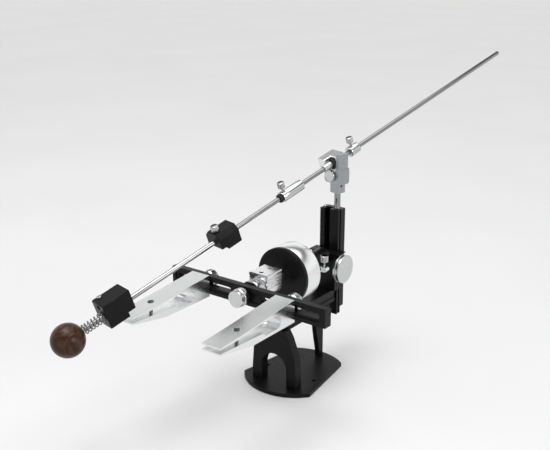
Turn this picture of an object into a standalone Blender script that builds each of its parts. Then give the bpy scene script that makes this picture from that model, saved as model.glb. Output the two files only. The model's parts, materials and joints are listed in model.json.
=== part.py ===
"""Guided-rod knife sharpening jig.

A plate and pedestal carry a beam. On the beam sit a rotary drum, which turns a cross bar with
two flexure clamps, and a geared post, which lifts a hinge with a long guide rod.
Units are metres. +Z is up, -Y is the front, where the clamps point, and +X is the right side.
The origin is the centre of the base plate's underside.
"""

import math

import bmesh
import bpy

GAP = 0.0003                # between pieces that touch
RUN = 0.0002                # between a shaft and its bore, on the radius
FACE_FRONT = (math.pi / 2, 0, 0)            # outline x, y become X, Z
FACE_SIDE = (math.pi / 2, 0, math.pi / 2)   # outline x, y become Y, Z
TURNS = {                   # rotation that points local +Z along an axis
    "+Z": (0, 0, 0),
    "+X": (0, math.pi / 2, 0),
    "-X": (0, -math.pi / 2, 0),
    "+Y": (-math.pi / 2, 0, 0),
    "-Y": (math.pi / 2, 0, 0),
}

# Base plate: a disc whose sides are cut by two tapering flats
PLATE_RADIUS = 0.065
PLATE_THICK = 0.005
PLATE_FRONT_ANGLE = 38.1    # degrees below the X axis where a flat meets the front arc
PLATE_REAR_ANGLE = 54.3     # degrees above the X axis where it meets the rear arc
PLATE_HOLE = (0.036, -0.009)
PLATE_HOLE_RADIUS = 0.0026

# Pedestal and beam
LEG_BASE = PLATE_THICK + GAP
LEG_FRONT = -0.045
LEG_THICK = 0.012
ARCH_CENTRE = 0.0003
ARCH_RADIUS = 0.0187
ARCH_SPRING = 0.0275        # height where the front arch starts to round
PEDESTAL_TOP = 0.080
WEB_HALF = 0.013
WEB_UNDER = 0.0765
RIB_THICK = 0.007
RIB_BACK = 0.060
BEAM_HALF = 0.013
BEAM_BOTTOM = PEDESTAL_TOP + GAP
BEAM_TOP = 0.098
BEAM_BACK = 0.072
FOOT_SCREWS = ((-0.026, -0.039), (0.026, -0.039), (0.0, 0.0555))
SCREW_RADIUS = 0.002
BEAM_SCREW_RADIUS = 0.0028
BEAM_SCREW_Y = 0.0675

# Rotary drum and what it turns
AXIS_Z = 0.144
DRUM_RADIUS = 0.036
FLANGE_FRONT = -0.029
FLANGE_BACK = -0.0235
HOUSING_BACK = 0.003
TUBE_RADIUS = 0.0115
TUBE_FRONT = -0.020
TUBE_BACK = 0.0627
BEARING_RADIUS = 0.0095
SHAFT_RADIUS = 0.006
SHAFT_FRONT = -0.080
SHAFT_BACK = 0.058
BLOCK_HALF = 0.0137
BLOCK_TOP = 0.0183          # above the axis
BLOCK_FRONT = -0.0755
BLOCK_BACK = -0.0465
BOSS_RADIUS = 0.0135
BRAKE_Y = 0.0375
BRAKE_SCREW_X = 0.0182         # the thumb screw
LUG_SCREW = (0.0140, 0.1373)   # the cap screw along Y

# Cross bar and clamps
BAR_HALF = 0.1125
BAR_FRONT = -0.102
BAR_BACK = -0.0905
BAR_LOW = 0.132
BAR_TOP = 0.155
SLOT_INNER = 0.021
SLOT_OUTER = 0.104
SLOT_HALF = 0.0035
STUD_RADIUS = 0.0029
CLAMP_X = {"left": -0.066, "right": 0.0586}
CLAMP_BACK = BAR_FRONT - GAP
CLAMP_LENGTH = 0.1277
CLAMP_WIDTH = 0.0263
CLAMP_TIP_WIDTH = 0.0245
JAW_SCREW_Y = -0.0862       # from the clamp's back face
CENTRE_KNOB_RADIUS = 0.0109
CENTRE_KNOB_FACE = -0.119
CLAMP_KNOB_RADIUS = 0.0105

# Post, its bracket and its rack drive
POST_HALF = 0.014
POST_FRONT = 0.075
POST_BACK = 0.091
POST_LOW = 0.060
POST_TOP = 0.2045
GROOVE = (-0.007, 0.001, 0.084)     # left, right and back of the front groove
EAR_GROOVE = (0.078, 0.081, 0.0014) # front, back and depth of the side grooves
BRACKET_HALF = 0.018
BRACKET_FRONT = 0.063
BRACKET_BACK = 0.0807
BRACKET_LOW = BEAM_TOP + GAP
BRACKET_TOP = 0.149
COLLAR_HALF = 0.0226
COLLAR_THICK = 0.0014
GEAR_AXIS = (0.0722, 0.1284)        # Y and Z of the pinion
GEAR_MODULE = 0.001
GEAR_TEETH = 13
GEAR_PITCH = GEAR_MODULE * GEAR_TEETH / 2
GEAR_X = (-0.0063, 0.0003)
GEAR_SHAFT_RADIUS = 0.002
BACKLASH = 0.0003
RACK_TEETH = 19
RACK_BACK = GROOVE[2] - GAP
LIFT_KNOB_RADIUS = 0.01875
LIFT_KNOB_FACE = 0.0285

# Hinge and guide rod. The rod's pieces are placed by their distance from the hinge,
# negative towards the handle.
HINGE = (0.008, 0.081, 0.270)
YAW = math.radians(13.235)
PITCH = math.radians(18.748)
UPRIGHT_RADIUS = 0.0041
UPRIGHT_LOW = 0.191
UPRIGHT_TOP = 0.2535
STEM_HALF = 0.007
YOKE_HALF = 0.013
CHEEK_INNER = 0.0082
YOKE_LOW = -0.030           # below the hinge axis
STEM_LOW = -0.043
SADDLE = -0.0135
CHEEK_TOP = 0.0098
CHEEK_FRONT = -0.0118
CHEEK_BACK = 0.0045
SHOULDER = (0.0070, -0.0096)        # back and top of the cheek's foot
PIVOT_LEFT = -0.0134
PIVOT_RIGHT = 0.0077
PIVOT_TOP = 0.0098
PIVOT_LOW = -0.0078
PIVOT_FRONT = -0.0100
PIVOT_BACK = 0.0050
WING = (-0.0011, -0.0215, -0.0045)  # right side, front and bottom of the block's wing
SEAL_RADIUS = 0.0075
ROD_RADIUS = 0.003
ROD_FRONT = -0.416
ROD_BACK = 0.332
BALL_AT = -0.41007
BALL_RADIUS = 0.01875
FRONT_HOLDER = (-0.365, -0.330)
REAR_HOLDER = (-0.207, -0.178)
FRONT_STOP = (-0.100, -0.0665)
REAR_STOP = (0.020, 0.035)
STOP_RADIUS = 0.007
SPRING_FRONT = -0.3905
SPRING_BACK = -0.3655
SPRING_RADIUS = 0.0054
SPRING_WIRE = 0.0007
SPRING_TURNS = 5

FINISHES = {                # colour, roughness, metallic
    "black_coat": ((0.012, 0.012, 0.013), 0.45, 0.0),
    "black_anodised": ((0.015, 0.015, 0.017), 0.38, 0.6),
    "aluminium": ((0.80, 0.81, 0.83), 0.28, 1.0),
    "chrome": ((0.86, 0.87, 0.89), 0.12, 1.0),
    "steel": ((0.55, 0.56, 0.58), 0.30, 1.0),
    "dark_steel": ((0.06, 0.06, 0.065), 0.40, 0.9),
    "rubber": ((0.02, 0.02, 0.02), 0.80, 0.0),
    "walnut": ((0.11, 0.045, 0.02), 0.35, 0.0),
}


# ---------------------------------------------------------------- making and placing

def new_collection(name):
    group = bpy.data.collections.new(name)
    bpy.context.scene.collection.children.link(group)
    return group


def clear_scene():
    for leftover in list(bpy.data.objects):
        bpy.data.objects.remove(leftover, do_unlink=True)


def finish_material(node, finish):
    """A Principled material of the piece's own."""
    colour, roughness, metallic = FINISHES[finish]
    material = bpy.data.materials.new(f"{node}_{finish}")
    material.use_nodes = True
    shader = material.node_tree.nodes["Principled BSDF"]
    shader.inputs["Base Color"].default_value = (*colour, 1.0)
    shader.inputs["Roughness"].default_value = roughness
    shader.inputs["Metallic"].default_value = metallic
    material.diffuse_color = (*colour, 1.0)
    return material


def add_piece(name, mesh, finish, at=(0, 0, 0), turn=(0, 0, 0), parent=None):
    piece = bpy.data.objects.new(name, mesh)
    mesh.materials.append(finish_material(name, finish))
    piece.location = at
    piece.rotation_euler = turn
    piece.parent = parent
    parts.objects.link(piece)
    return piece


def add_axis(name, at, turn=(0, 0, 0), parent=None):
    """An empty on a joint's axis, for the pieces that turn about it."""
    axis = bpy.data.objects.new(name, None)
    axis.location = at
    axis.rotation_euler = turn
    axis.parent = parent
    parts.objects.link(axis)
    return axis


def mesh_from(bm, name):
    """A mesh from bm, smooth except at its corners."""
    mesh = bpy.data.meshes.new(name)
    bm.to_mesh(mesh)
    bm.free()
    mesh.shade_smooth()
    mesh.set_sharp_from_angle(angle=math.radians(35))
    return mesh


def box_mesh(low, high):
    bm = bmesh.new()
    bmesh.ops.create_cube(bm, size=1.0)
    bmesh.ops.scale(bm, vec=[b - a for a, b in zip(low, high)], verts=bm.verts)
    bmesh.ops.translate(bm, vec=[(a + b) / 2 for a, b in zip(low, high)], verts=bm.verts)
    return mesh_from(bm, "box")


def rod_mesh(radius, low, high, sides=16):
    """A cylinder along Z, from low to high."""
    bm = bmesh.new()
    bmesh.ops.create_cone(bm, cap_ends=True, segments=sides, radius1=radius, radius2=radius,
                          depth=high - low)
    bmesh.ops.translate(bm, vec=(0, 0, (low + high) / 2), verts=bm.verts)
    return mesh_from(bm, "rod")


def slab_mesh(outline, thick, holes=()):
    """A flat outline in XY, with holes, extruded half its thickness each way along Z."""
    curve = bpy.data.curves.new("outline", "CURVE")
    curve.dimensions = "2D"
    curve.fill_mode = "BOTH"
    curve.extrude = thick / 2
    for ring in (outline, *holes):
        spline = curve.splines.new("POLY")
        spline.points.add(len(ring) - 1)
        for point, (x, y) in zip(spline.points, ring):
            point.co = (x, y, 0, 1)
        spline.use_cyclic_u = True
    drawn = bpy.data.objects.new("outline", curve)
    bpy.context.scene.collection.objects.link(drawn)
    evaluated = drawn.evaluated_get(bpy.context.evaluated_depsgraph_get())
    flat = bpy.data.meshes.new_from_object(evaluated)
    bpy.data.objects.remove(drawn)
    bm = bmesh.new()
    bm.from_mesh(flat)
    bmesh.ops.remove_doubles(bm, verts=bm.verts, dist=1e-6)
    bmesh.ops.dissolve_limit(bm, angle_limit=math.radians(1), verts=bm.verts, edges=bm.edges)
    bmesh.ops.recalc_face_normals(bm, faces=bm.faces)
    return mesh_from(bm, "slab")


def arc(centre, radius, start, end, count):
    """Points on an arc between two angles in degrees, both included."""
    angles = [math.radians(start + (end - start) * i / count) for i in range(count + 1)]
    return [(centre[0] + radius * math.cos(a), centre[1] + radius * math.sin(a)) for a in angles]


def circle(centre, radius, count=16):
    return arc(centre, radius, 0, 360, count)[:-1]


def obround(left, right, half, count=8):
    """A slot outline with round ends, centred on y = 0."""
    return (arc((right - half, 0), half, -90, 90, count)
            + arc((left + half, 0), half, 90, 270, count))


def round_box(half_x, half_y, radius, count=4):
    """A rectangle with round corners, centred on the origin."""
    x = half_x - radius
    y = half_y - radius
    return (arc((x, y), radius, 0, 90, count) + arc((-x, y), radius, 90, 180, count)
            + arc((-x, -y), radius, 180, 270, count) + arc((x, -y), radius, 270, 360, count))


def combine(piece, mesh, operation, at=(0, 0, 0), turn=(0, 0, 0)):
    """Cut mesh out of a piece, or join it on, in the piece's own frame."""
    tool = bpy.data.objects.new(f"{piece.name}_tool_{len(piece.modifiers)}", mesh)
    tool.location = at
    tool.rotation_euler = turn
    tool.parent = piece
    tool.hide_render = True
    tool.display_type = "WIRE"
    cutters.objects.link(tool)
    modifier = piece.modifiers.new(tool.name, "BOOLEAN")
    modifier.operation = operation
    modifier.solver = "EXACT"
    modifier.object = tool


def cut(piece, mesh, at=(0, 0, 0), turn=(0, 0, 0)):
    combine(piece, mesh, "DIFFERENCE", at, turn)


def join(piece, mesh, at=(0, 0, 0), turn=(0, 0, 0)):
    combine(piece, mesh, "UNION", at, turn)


def soften(piece, width):
    """Bevel the sharp edges."""
    bevel = piece.modifiers.new("edges", "BEVEL")
    bevel.width = width
    bevel.segments = 1
    bevel.limit_method = "ANGLE"
    bevel.angle_limit = math.radians(50)


def add_turned(name, profile, finish, at, axis="+Z", steps=24, ring=False, parent=None):
    """A turned piece. profile is (radius, height) down its outer side, from top to bottom.

    A ring's profile closes on itself; any other starts and ends on the axis.
    """
    mesh = bpy.data.meshes.new(name)
    count = len(profile)
    edges = [(i, (i + 1) % count) for i in range(count if ring else count - 1)]
    mesh.from_pydata([(radius, 0, height) for radius, height in profile], edges, [])
    piece = add_piece(name, mesh, finish, at, TURNS[axis], parent)
    screw = piece.modifiers.new("turn", "SCREW")
    screw.axis = "Z"
    screw.steps = steps
    screw.render_steps = steps
    screw.use_merge_vertices = True
    screw.merge_threshold = 1e-5
    screw.use_smooth_shade = True
    return piece


def rod_profile(radius, low, high, chamfer=0.0005):
    """A plain rod's profile, with chamfered ends."""
    return [(0, high), (radius - chamfer, high), (radius, high - chamfer),
            (radius, low + chamfer), (radius - chamfer, low), (0, low)]


def tube_profile(outer, inner, low, high, chamfer=0.0005):
    """A plain tube's profile, chamfered outside."""
    return [(inner, high), (outer - chamfer, high), (outer, high - chamfer),
            (outer, low + chamfer), (outer - chamfer, low), (inner, low)]


def thumb_profile(head, stem, low, neck, top, chamfer=0.0006):
    """A thumb screw: a round head from neck to top, and a stem down to low."""
    return [(0, top), (head - chamfer, top), (head, top - chamfer), (head, neck + chamfer),
            (head - chamfer, neck), (stem, neck), (stem, low), (0, low)]


# ---------------------------------------------------------------- base, pedestal and beam

def make_base_plate():
    """A disc with a tapering flat on each side and two holes for bench screws."""
    front = arc((0, 0), PLATE_RADIUS, PLATE_FRONT_ANGLE - 180, -PLATE_FRONT_ANGLE, 18)
    rear = arc((0, 0), PLATE_RADIUS, PLATE_REAR_ANGLE, 180 - PLATE_REAR_ANGLE, 12)
    holes = [circle((side * PLATE_HOLE[0], PLATE_HOLE[1]), PLATE_HOLE_RADIUS) for side in (-1, 1)]
    mesh = slab_mesh(front + rear, PLATE_THICK, holes)
    plate = add_piece("base_plate", mesh, "black_coat", at=(0, 0, PLATE_THICK / 2))
    for x, y in FOOT_SCREWS:
        bore = rod_mesh(SCREW_RADIUS + GAP, -PLATE_THICK, PLATE_THICK, 12)
        cut(plate, bore, at=(x, y, 0))
        sink = rod_mesh(0.0045, -PLATE_THICK, 0, 12)
        cut(plate, sink, at=(x, y, 0))


def make_pedestal():
    """A front panel with an arch, and a thin rear rib, joined by a web under the beam."""
    side = [(0.0335, LEG_BASE), (0.0335, 0.020), (0.0315, 0.047), (0.022, 0.071),
            (0.0165, PEDESTAL_TOP)]
    arch = arc((ARCH_CENTRE, ARCH_SPRING), ARCH_RADIUS, 0, 180, 14)
    foot = [(ARCH_CENTRE + ARCH_RADIUS, LEG_BASE)]
    far_foot = [(ARCH_CENTRE - ARCH_RADIUS, LEG_BASE)]
    left = [(-x, z) for x, z in reversed(side)]
    outline = side + left + far_foot + list(reversed(arch)) + foot
    panel = slab_mesh(outline, LEG_THICK)
    middle = LEG_FRONT + LEG_THICK / 2
    pedestal = add_piece("pedestal", panel, "black_coat", at=(0, middle, 0), turn=FACE_FRONT)

    rear_foot = [(RIB_BACK, LEG_BASE), (RIB_BACK, PEDESTAL_TOP - 0.0005)]
    corner = arc((-0.029, 0.0725), 0.006, 180, 90, 4)
    sweep = [(0.030, 0.0785), (0.0385, 0.0725), (0.0425, 0.060), (0.0445, 0.044), (0.0515, 0.012),
             (0.0515, LEG_BASE)]
    rib = rear_foot + [(-0.035, PEDESTAL_TOP - 0.0005)] + corner + sweep
    join(pedestal, slab_mesh(rib, RIB_THICK), at=(0, 0, middle), turn=(0, math.pi / 2, 0))
    web = box_mesh((-WEB_HALF, WEB_UNDER, -RIB_BACK), (WEB_HALF, PEDESTAL_TOP - 0.0003, 0.040))
    join(pedestal, web, at=(0, 0, middle))
    for x, y in FOOT_SCREWS:
        bore = rod_mesh(SCREW_RADIUS + RUN, 0, 0.014, 12)
        cut(pedestal, bore, at=(x, LEG_BASE - 0.001, middle - y), turn=TURNS["+Y"])


def make_beam():
    """A rectangular beam with a shallow channel along each side."""
    low = (-BEAM_HALF, LEG_FRONT, BEAM_BOTTOM)
    beam = add_piece("beam", box_mesh(low, (BEAM_HALF, BEAM_BACK, BEAM_TOP)), "black_anodised")
    soften(beam, 0.0006)
    for side in (-1, 1):
        channel = box_mesh((-0.001, LEG_FRONT - 0.001, 0.086), (0.001, BEAM_BACK + 0.001, 0.0925))
        cut(beam, channel, at=(side * BEAM_HALF, 0, 0))
    cut(beam, rod_mesh(BEAM_SCREW_RADIUS + RUN, 0.079, 0.099, 16), at=(0, BEAM_SCREW_Y, 0))
    cut(beam, rod_mesh(0.0048, 0.079, 0.0845, 16), at=(0, BEAM_SCREW_Y, 0))


def make_foot_screws():
    """Countersunk screws, from under the plate into the pedestal."""
    profile = [(0, 0.016), (SCREW_RADIUS, 0.016), (SCREW_RADIUS, 0.0021), (0.0041, 0.0019),
               (0.0041, 0.0005), (0, 0.0005)]
    for name, place in zip(("front_left", "front_right", "rear"), FOOT_SCREWS):
        add_turned(f"pedestal_screw_{name}", profile, "dark_steel", (*place, 0), steps=12)


def make_bracket_screw():
    """The cap screw from under the beam up into the post bracket."""
    profile = [(0, 0.0140), (BEAM_SCREW_RADIUS, 0.0140), (BEAM_SCREW_RADIUS, -0.0158),
               (0.0045, -0.0158), (0.0045, -0.0194), (0, -0.0194)]
    add_turned("bracket_screw", profile, "dark_steel", (0, BEAM_SCREW_Y, 0.100), steps=12)


# ---------------------------------------------------------------- rotary drum

def make_drum():
    """The fixed brushed ring, the spindle tube behind it, and the tube's bearings."""
    axis = (0, 0, AXIS_Z)
    outer = DRUM_RADIUS
    bore = TUBE_RADIUS + GAP
    front = -FLANGE_BACK - GAP
    ring = tube_profile(outer, bore, -HOUSING_BACK, front, 0.0008)
    add_turned("drum_housing", ring, "aluminium", axis, "-Y", steps=36, ring=True)
    seat = BEARING_RADIUS + GAP
    waist = 0.0078
    tube = [(seat, -TUBE_FRONT), (TUBE_RADIUS, -TUBE_FRONT), (TUBE_RADIUS, -TUBE_BACK),
            (seat, -TUBE_BACK), (seat, -0.039), (waist, -0.039), (waist, 0.0105), (seat, 0.0105)]
    add_turned("spindle_tube", tube, "black_anodised", axis, "-Y", ring=True)
    for name, low in (("front_bearing", 0.0110), ("rear_bearing", -0.0475)):
        ring = tube_profile(BEARING_RADIUS, SHAFT_RADIUS + RUN, low, low + 0.008)
        add_turned(name, ring, "steel", axis, "-Y", ring=True)


def make_rotor():
    """Flange, shaft, retaining ring, shaft block and front boss, which turn together."""
    bore = SHAFT_RADIUS + RUN
    axis = (0, 0, AXIS_Z)
    flange = [(bore, -FLANGE_FRONT), (DRUM_RADIUS - 0.0012, -FLANGE_FRONT),
              (DRUM_RADIUS, -FLANGE_FRONT - 0.0012), (DRUM_RADIUS, -FLANGE_BACK),
              (bore, -FLANGE_BACK)]
    add_turned("drum_flange", flange, "black_anodised", axis, "-Y", steps=36, ring=True)
    groove = (-0.0492, -0.0508)
    bore_end = 0.062
    stud_bore = 0.0032
    shaft = [(0, bore_end), (stud_bore, bore_end), (stud_bore, -SHAFT_FRONT),
             (SHAFT_RADIUS, -SHAFT_FRONT), (SHAFT_RADIUS, groove[0]), (0.005, groove[0]),
             (0.005, groove[1]), (SHAFT_RADIUS, groove[1]), (SHAFT_RADIUS, -SHAFT_BACK),
             (0, -SHAFT_BACK)]
    add_turned("rotary_shaft", shaft, "steel", axis, "-Y")
    ring = tube_profile(0.0085, 0.0053, -0.0506, -0.0494, 0.0002)
    add_turned("retaining_ring", ring, "dark_steel", axis, "-Y", ring=True)
    make_shaft_block()
    step = -SHAFT_FRONT + GAP
    front = -BAR_BACK - GAP
    back = 0.0758
    boss = [(stud_bore, front), (BOSS_RADIUS - 0.001, front), (BOSS_RADIUS, front - 0.001),
            (BOSS_RADIUS, back), (bore, back), (bore, step), (stud_bore, step)]
    add_turned("shaft_boss", boss, "chrome", axis, "-Y", ring=True)


def make_shaft_block():
    """A split block on the shaft: flat top, fluted sides, half-round bottom."""
    flutes = []
    for z in (0.0142, 0.0105, 0.0068, 0.0031):
        flutes += [(BLOCK_HALF, z), (BLOCK_HALF - 0.0009, z - 0.0007),
                   (BLOCK_HALF - 0.0009, z - 0.0017), (BLOCK_HALF, z - 0.0024)]
    top = [(BLOCK_HALF - 0.001, BLOCK_TOP), (BLOCK_HALF, BLOCK_TOP - 0.001)]
    right = top + flutes
    left = [(-x, z) for x, z in reversed(right)]
    outline = right + arc((0, -0.0005), BLOCK_HALF, 0, -180, 16) + left
    length = BLOCK_BACK - BLOCK_FRONT
    middle = (BLOCK_BACK + BLOCK_FRONT) / 2
    bore = circle((0, 0), SHAFT_RADIUS + RUN, 24)
    block = add_piece("shaft_block", slab_mesh(outline, length, [bore]), "aluminium",
                      at=(0, middle, AXIS_Z), turn=FACE_FRONT)
    offsets = (-0.0085, 0.0085)
    for offset in offsets:
        cut(block, rod_mesh(0.0026, 0.008, 0.020, 16), at=(0, 0, -offset), turn=TURNS["+Y"])
    profile = [(0, 0.0168), (0.0023, 0.0168), (0.0023, 0.0085), (0, 0.0085)]
    for name, offset in zip(("front", "rear"), offsets):
        add_turned(f"shaft_block_screw_{name}", profile, "dark_steel",
                   (0, middle + offset, AXIS_Z), steps=12)


def make_brake():
    """The spindle's brake: a lug on the tube, its cap screw and its thumb screw."""
    lug = arc((0.0205, 0.1373), 0.0033, -90, 90, 6) + [(0.004, 0.1406), (0.004, 0.1340)]
    piece = add_piece("brake_lug", slab_mesh(lug, 0.007), "aluminium", at=(0, BRAKE_Y, 0),
                      turn=FACE_FRONT)
    cut(piece, rod_mesh(TUBE_RADIUS + GAP, -0.01, 0.01, 32), at=(0, AXIS_Z, 0))
    cut(piece, rod_mesh(0.0017, -0.01, 0.01, 12), at=(BRAKE_SCREW_X, 0.1430, 0),
        turn=TURNS["+Y"])
    cut(piece, rod_mesh(0.0020, -0.0015, 0.01, 12), at=(*LUG_SCREW, 0))
    add_turned("brake_lug_screw", rod_profile(0.0017, -0.0010, 0.0042, 0.0003), "dark_steel",
               (LUG_SCREW[0], BRAKE_Y, LUG_SCREW[1]), "-Y", steps=12)
    thumb = thumb_profile(0.005, 0.0014, -0.0095, 0.0, 0.0085)
    add_turned("brake_screw", thumb, "chrome", (BRAKE_SCREW_X, BRAKE_Y, 0.1470))


# ---------------------------------------------------------------- cross bar and clamps

def make_bar():
    """The cross bar, with a long recess, two stud slots and a centre bore."""
    low = (-BAR_HALF, BAR_FRONT, BAR_LOW)
    bar = add_piece("clamp_bar", box_mesh(low, (BAR_HALF, BAR_BACK, BAR_TOP)), "black_anodised")
    recess = slab_mesh(obround(-0.108, 0.108, 0.007, 10), 0.003)
    cut(bar, recess, at=(0, BAR_FRONT, AXIS_Z), turn=FACE_FRONT)
    for side in (-1, 1):
        ends = sorted((side * SLOT_INNER, side * SLOT_OUTER))
        slot = slab_mesh(obround(*ends, SLOT_HALF), 0.04)
        cut(bar, slot, at=(0, BAR_FRONT, AXIS_Z), turn=FACE_FRONT)
    cut(bar, rod_mesh(0.0032, 0.08, 0.11, 20), at=(0, 0, AXIS_Z), turn=TURNS["-Y"])
    cut(bar, box_mesh((-0.12, -0.0955, BAR_TOP - 0.0016), (0.12, -0.08, BAR_TOP + 0.002)))


def make_centre_knob():
    """The knob whose stud holds the bar on the shaft."""
    face = -CENTRE_KNOB_FACE
    seat = -BAR_FRONT + GAP
    outer = CENTRE_KNOB_RADIUS
    rim = outer - 0.0007
    knob = [(0, face), (rim - 0.0006, face), (rim, face - 0.0006), (rim, face - 0.0048),
            (outer - 0.0018, face - 0.0054), (outer - 0.0018, face - 0.0060),
            (outer, face - 0.0068), (outer, face - 0.0126), (outer - 0.0010, face - 0.0136),
            (0.0078, face - 0.0136), (0.0078, seat), (0.003, seat), (0.003, 0.064), (0, 0.064)]
    add_turned("centre_knob", knob, "aluminium", (0, 0, AXIS_Z), "-Y")


def clamp_outline():
    """A clamp's side view, from its back face: two jaws joined behind a round relief."""
    top = [(0, 0.0120), (-0.042, 0.0085), (-0.083, 0.0052), (-CLAMP_LENGTH, 0.0025)]
    upper_jaw = [(-CLAMP_LENGTH, 0.0008), (-0.100, 0.0012), (-0.079, 0.0030), (-0.068, 0.0050)]
    relief = arc((-0.033, -0.0031), 0.0081, 90, -90, 10)
    lower_jaw = [(-0.045, -0.0112), (-0.053, -0.0112), (-0.056, -0.0073), (-0.078, -0.0060),
                 (-0.100, -0.0053), (-CLAMP_LENGTH, -0.0040)]
    bottom = [(-CLAMP_LENGTH, -0.0057), (-0.075, -0.0147), (0, -0.0147)]
    return top + upper_jaw + relief + lower_jaw + bottom


def make_clamp(side):
    """A one-piece flexure clamp with its stud, rear knob and jaw screw."""
    x = CLAMP_X[side]
    mesh = slab_mesh(clamp_outline(), CLAMP_WIDTH)
    for vertex in mesh.vertices:
        part = -vertex.co.x / CLAMP_LENGTH
        vertex.co.z *= 1 + part * (CLAMP_TIP_WIDTH / CLAMP_WIDTH - 1)
    clamp = add_piece(f"{side}_clamp", mesh, "aluminium", at=(x, CLAMP_BACK, AXIS_Z),
                      turn=FACE_SIDE)
    cut(clamp, rod_mesh(STUD_RADIUS + RUN, -0.0145, 0.01), turn=TURNS["+X"])
    cut(clamp, rod_mesh(0.0023, -0.03, 0.03, 16), at=(JAW_SCREW_Y, 0, 0), turn=TURNS["+Y"])
    cut(clamp, rod_mesh(0.0044, 0.0036, 0.03, 16), at=(JAW_SCREW_Y, 0, 0), turn=TURNS["+Y"])
    stud = rod_profile(STUD_RADIUS, -0.0142, -CLAMP_BACK - 0.0795)
    add_turned(f"{side}_clamp_stud", stud, "steel", (x, CLAMP_BACK, AXIS_Z), "+Y")
    back = -CLAMP_BACK - 0.080
    seat = -CLAMP_BACK + BAR_BACK + GAP
    knob = [(STUD_RADIUS + RUN, back), (CLAMP_KNOB_RADIUS - 0.001, back),
            (CLAMP_KNOB_RADIUS, back - 0.001), (CLAMP_KNOB_RADIUS, seat + 0.001),
            (CLAMP_KNOB_RADIUS - 0.001, seat), (STUD_RADIUS + RUN, seat)]
    add_turned(f"{side}_clamp_knob", knob, "chrome", (x, CLAMP_BACK, AXIS_Z), "+Y", ring=True)
    screw = [(0, 0.0058), (0.0031, 0.0058), (0.0031, 0.0039), (0.0020, 0.0039), (0.0020, -0.0115),
             (0, -0.0115)]
    add_turned(f"{side}_jaw_screw", screw, "steel",
               (x, CLAMP_BACK + JAW_SCREW_Y, AXIS_Z), steps=12)


# ---------------------------------------------------------------- post and its drive

def make_bracket():
    """The post bracket: a block with a recess whose lips hold the post by its side grooves."""
    recess = POST_HALF + GAP
    lip = POST_HALF - EAR_GROOVE[2] + GAP
    back = POST_FRONT - GAP
    right = [(BRACKET_HALF, BRACKET_FRONT), (BRACKET_HALF, BRACKET_BACK), (lip, BRACKET_BACK),
             (lip, EAR_GROOVE[0] + GAP), (recess, EAR_GROOVE[0] + GAP), (recess, back)]
    left = [(-x, y) for x, y in reversed(right)]
    mesh = slab_mesh(right + left, BRACKET_TOP - BRACKET_LOW)
    bracket = add_piece("post_bracket", mesh, "black_anodised",
                        at=(0, 0, (BRACKET_TOP + BRACKET_LOW) / 2))
    middle = bracket.location.z
    collar = [(x * COLLAR_HALF / BRACKET_HALF if abs(x) == BRACKET_HALF else x, y)
              for x, y in right + left]
    join(bracket, slab_mesh(collar, COLLAR_THICK), at=(0, 0, BRACKET_TOP - middle - 0.0005))
    pocket = rod_mesh(0.0077, GEAR_X[0] - 0.0008, GEAR_X[1] + 0.0008, 32)
    axle = rod_mesh(GEAR_SHAFT_RADIUS + RUN, -0.0135, 0.030, 20)
    for tool in (pocket, axle):
        cut(bracket, tool, at=(0, GEAR_AXIS[0], GEAR_AXIS[1] - middle), turn=TURNS["+X"])
    cut(bracket, rod_mesh(BEAM_SCREW_RADIUS + RUN, -0.001, 0.0160, 16),
        at=(0, BEAM_SCREW_Y, BRACKET_LOW - middle))


def make_post():
    """The post, an extrusion with a front groove for the rack and two side grooves."""
    inner = POST_HALF - EAR_GROOVE[2]
    side = [(POST_HALF, POST_FRONT), (POST_HALF, EAR_GROOVE[0]), (inner, EAR_GROOVE[0]),
            (inner, EAR_GROOVE[1]), (POST_HALF, EAR_GROOVE[1]), (POST_HALF, POST_BACK)]
    left = [(-x, y) for x, y in reversed(side)]
    groove = [(GROOVE[0], POST_FRONT), (GROOVE[0], GROOVE[2]), (GROOVE[1], GROOVE[2]),
              (GROOVE[1], POST_FRONT)]
    middle = (POST_LOW + POST_TOP) / 2
    mesh = slab_mesh(side + left + groove, POST_TOP - POST_LOW)
    post = add_piece("post", mesh, "black_anodised", at=(0, 0, middle))
    cut(post, rod_mesh(UPRIGHT_RADIUS + RUN, UPRIGHT_LOW - middle - GAP, POST_TOP - middle + 0.01),
        at=(HINGE[0], HINGE[1], 0))
    cut(post, rod_mesh(0.0014, POST_TOP - middle - 0.010, POST_TOP - middle + 0.01, 12),
        at=(-0.0105, 0.082, 0))
    cut(post, box_mesh((-0.02, 0.0835, POST_LOW - middle - 0.001),
                       (0.02, 0.10, POST_LOW - middle + 0.009)))
    screw = [(0, 0.0025), (0.0028, 0.0025), (0.0028, GAP), (0.0012, GAP), (0.0012, -0.0095),
             (0, -0.0095)]
    add_turned("post_top_screw", screw, "chrome", (-0.0105, 0.082, POST_TOP), steps=16)
    add_turned("upright_rod", rod_profile(UPRIGHT_RADIUS, UPRIGHT_LOW, UPRIGHT_TOP), "chrome",
               (HINGE[0], HINGE[1], 0))


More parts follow.
